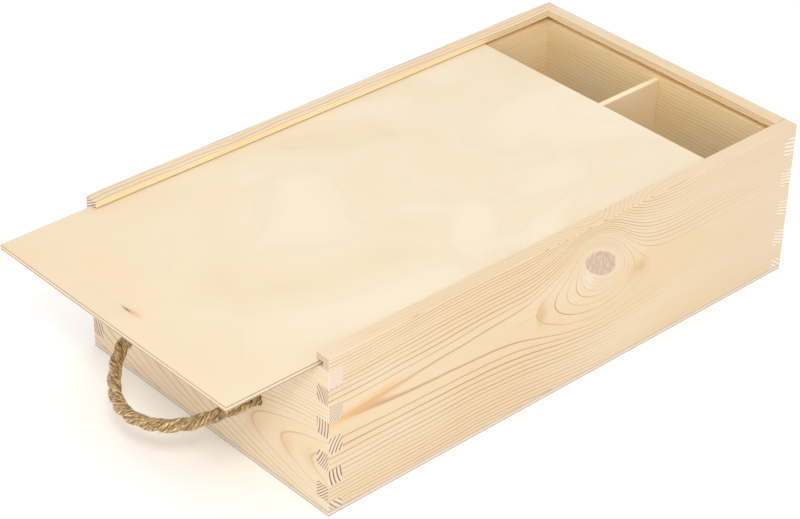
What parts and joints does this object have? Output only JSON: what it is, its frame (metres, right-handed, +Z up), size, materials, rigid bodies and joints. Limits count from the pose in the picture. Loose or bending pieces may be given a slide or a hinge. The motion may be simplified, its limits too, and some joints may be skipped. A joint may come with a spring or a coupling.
{
  "type": "wooden wine box",
  "caption": "Flat pine gift box with finger-jointed corners, a sliding plywood lid, a divider between two bottle bays and a knotted rope handle on one end.",
  "frame": {"origin": "middle of the box's flat underside", "axes": "+X across the box, +Y along it from the handle end to the back end, +Z up"},
  "size_m": [0.198, 0.408, 0.0975],
  "materials": {
    "pine_side_boards": "planed and sanded, unfinished",
    "pine_end_boards": "planed and sanded, unfinished",
    "lid_plywood": "sanded birch plywood, unfinished",
    "bottom_plywood": "sanded birch plywood, unfinished",
    "divider_plywood": "sanded birch plywood, unfinished",
    "jute_rope": "three-strand laid jute, hairy"
  },
  "bodies": {
    "box": {"right_wall": "pine_side_boards", "left_wall": "pine_side_boards", "front_wall": "pine_end_boards", "back_wall": "pine_end_boards", "bottom_panel": "bottom_plywood", "divider": "divider_plywood", "right_rope_neck": "jute_rope", "left_rope_neck": "jute_rope", "right_rope_knot": "jute_rope", "left_rope_knot": "jute_rope"},
    "lid": {"lid": "lid_plywood"},
    "handle": {"handle_rope": "jute_rope"}
  },
  "joints": [
    {"name": "lid_slide", "type": "slide", "parent": "box", "child": "lid", "axis": [0, -1, 0], "range_m": [-0.058, 0.29]},
    {"name": "handle_swing", "type": "hinge", "parent": "box", "child": "handle", "pos_m": [0, -0.1775, 0.0435], "axis": [-1, 0, 0], "range_deg": [-35, 65], "deforming": ["right_rope_neck", "left_rope_neck"]}
  ]
}
